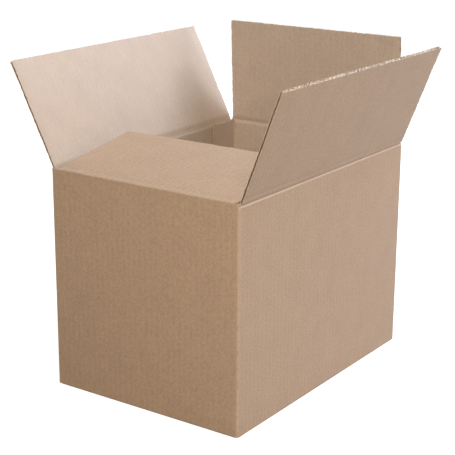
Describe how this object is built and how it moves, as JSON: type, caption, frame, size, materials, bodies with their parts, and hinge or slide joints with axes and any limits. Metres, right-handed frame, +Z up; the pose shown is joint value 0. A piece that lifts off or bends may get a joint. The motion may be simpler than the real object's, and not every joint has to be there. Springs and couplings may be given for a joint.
{
  "type": "open cardboard box",
  "caption": "Open slotted shipping carton folded from corrugated board, with hinged top flaps, a glued corner and a taped bottom, for packing and storing goods.",
  "frame": {"origin": "middle of the underside, on the taped seam", "axes": "+Z up out of the open top, +Y along the length towards the end wall whose flap stands up, -Y towards the end wall whose flap is folded in, +X across the width"},
  "size_m": [0.3723, 0.364, 0.3994],
  "materials": {
    "wall_board": "matte",
    "flap_board": "matte",
    "packing_tape": "satin"
  },
  "bodies": {
    "box": {"box_body": "wall_board", "bottom_tape": "packing_tape"},
    "front_flap": {"front_flap": "flap_board"},
    "back_flap": {"back_flap": "flap_board"},
    "left_flap": {"left_flap": "flap_board"},
    "right_flap": {"right_flap": "flap_board"}
  },
  "joints": [
    {"name": "front_fold", "type": "hinge", "parent": "box", "child": "front_flap", "pos_m": [0, -0.182, 0.2688], "axis": [1, 0, 0], "range_deg": [-9.5, 250.5]},
    {"name": "back_fold", "type": "hinge", "parent": "box", "child": "back_flap", "pos_m": [0, 0.182, 0.2688], "axis": [-1, 0, 0], "range_deg": [-87.5, 172.5]},
    {"name": "left_fold", "type": "hinge", "parent": "box", "child": "left_flap", "pos_m": [-0.131, 0, 0.265], "axis": [0, -1, 0], "range_deg": [-27.5, 142.5]},
    {"name": "right_fold", "type": "hinge", "parent": "box", "child": "right_flap", "pos_m": [0.131, 0, 0.265], "axis": [0, 1, 0], "range_deg": [-21, 149]}
  ]
}
